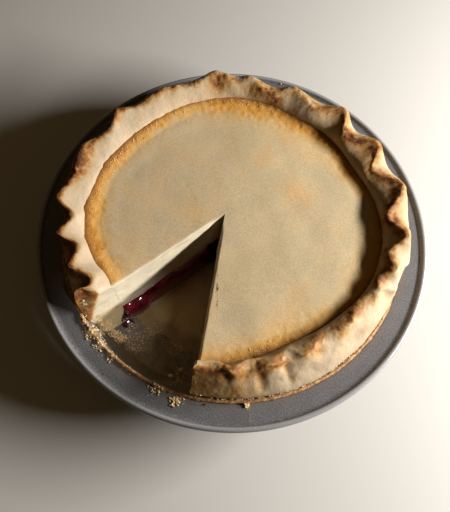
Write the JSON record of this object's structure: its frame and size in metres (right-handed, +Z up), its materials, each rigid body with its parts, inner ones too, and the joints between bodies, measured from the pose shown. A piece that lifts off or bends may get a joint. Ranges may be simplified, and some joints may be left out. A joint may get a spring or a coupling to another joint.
{
  "type": "cherry pie in its tin",
  "caption": "Deep cherry pie with a pale baked top layer over red cherry filling, in a pinched crust, with a slice cut out, standing in its round wide-rimmed tin.",
  "frame": {"origin": "centre of the tin's underside, on the surface that it stands on", "axes": "+Z up along the tin's axis, the middle of the slice gap points along -Y, +X to the right of a viewer who looks into the gap"},
  "size_m": [0.2676, 0.2676, 0.0649],
  "materials": {
    "tin_metal": "speckled grey non-stick coat, satin",
    "crust": "baked dough, matte, browned on its points",
    "dough_skirt": "thin browned dough, matte",
    "cherry_filling": "set cherry jelly, wet gloss",
    "cream_layer": "baked cream, matte, browned and sugary at its edge"
  },
  "bodies": {
    "root": {"tin": "tin_metal", "crust": "crust", "dough_skirt": "dough_skirt", "cherry_filling": "cherry_filling", "cream_layer": "cream_layer"}
  },
  "joints": []
}
